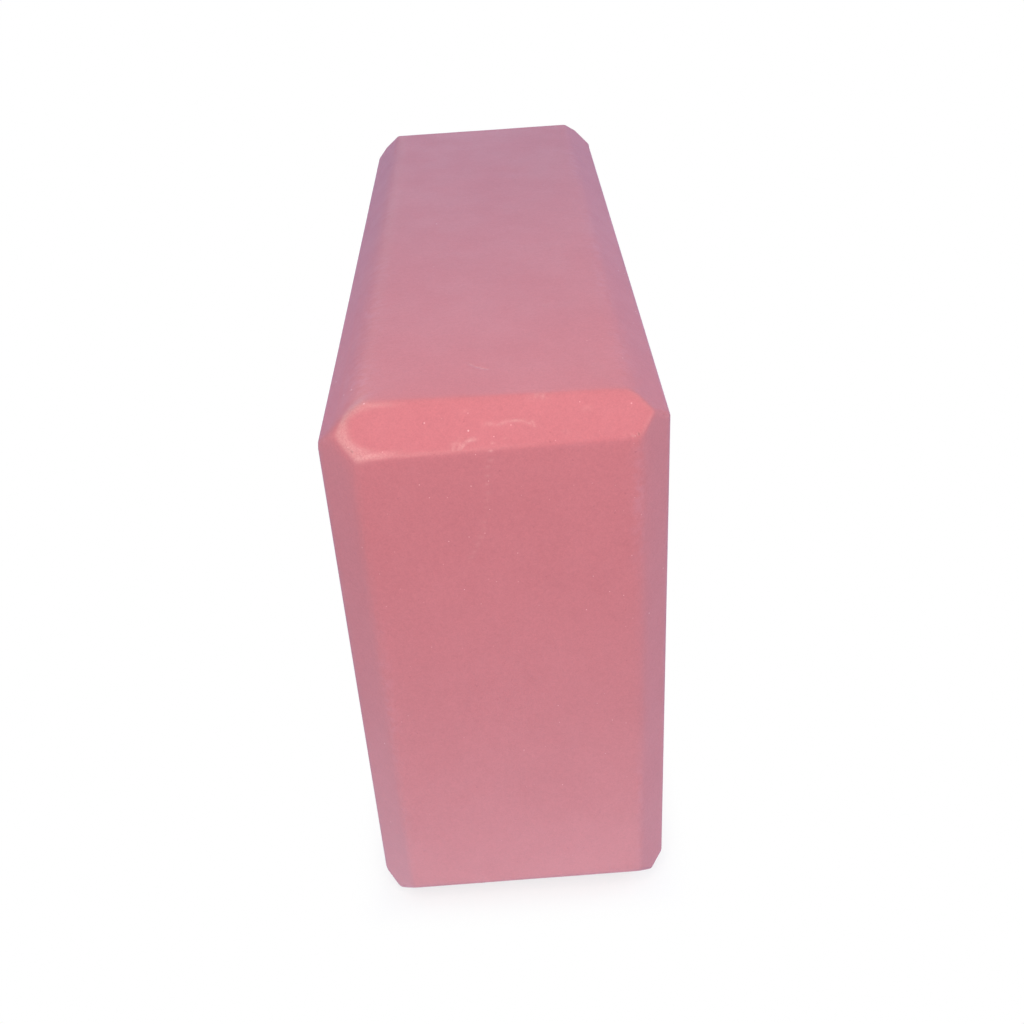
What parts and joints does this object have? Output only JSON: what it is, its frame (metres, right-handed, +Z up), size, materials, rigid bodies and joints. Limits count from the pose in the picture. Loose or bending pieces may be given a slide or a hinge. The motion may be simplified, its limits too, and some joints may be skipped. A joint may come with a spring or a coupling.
{
  "type": "yoga block",
  "caption": "Rectangular closed-cell foam block with a bevel on every edge, standing on a long narrow face, for support in yoga, stretching and floor exercise.",
  "frame": {"origin": "centre of the long narrow face the block stands on", "axes": "+Z up, +Y along the longest side, +X across the thickness"},
  "size_m": [0.076, 0.226, 0.15],
  "materials": {
    "foam": "matte"
  },
  "bodies": {
    "root": {"foam_block": "foam"}
  },
  "joints": []
}
